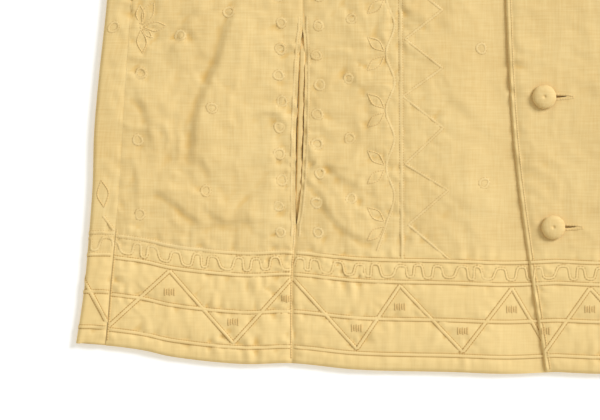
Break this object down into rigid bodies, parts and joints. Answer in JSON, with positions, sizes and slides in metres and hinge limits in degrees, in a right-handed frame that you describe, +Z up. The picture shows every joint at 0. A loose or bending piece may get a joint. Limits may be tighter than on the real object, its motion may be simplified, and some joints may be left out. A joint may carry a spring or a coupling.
{
  "type": "embroidered jacket",
  "caption": "Collared cotton jacket laid out flat, face up, with long sleeves, a buttoned front, slit pockets in the panel seams and corded embroidery over the fronts and hem.",
  "frame": {"origin": "centre of the bounding rectangle, on the surface the jacket lies on", "axes": "+X to the wearer's left, +Y from hem to collar, +Z up out of the surface it lies on"},
  "size_m": [1.3518, 0.7418, 0.012],
  "materials": {
    "face_cotton": "matt plain-weave cotton with self-coloured corded embroidery",
    "pocket_cotton": "matt thin plain-weave cotton",
    "button_cotton": "matt cotton drawn tight over a domed button"
  },
  "bodies": {
    "root": {"back": "face_cotton", "front_right": "face_cotton", "front_left": "face_cotton", "side_front_right": "face_cotton", "side_front_left": "face_cotton", "sleeve_right": "face_cotton", "sleeve_left": "face_cotton", "collar": "face_cotton", "pocket_right": "pocket_cotton", "pocket_left": "pocket_cotton", "button_1": "button_cotton", "button_2": "button_cotton", "button_3": "button_cotton", "button_4": "button_cotton", "button_5": "button_cotton", "button_6": "button_cotton", "button_7": "button_cotton"}
  },
  "joints": []
}
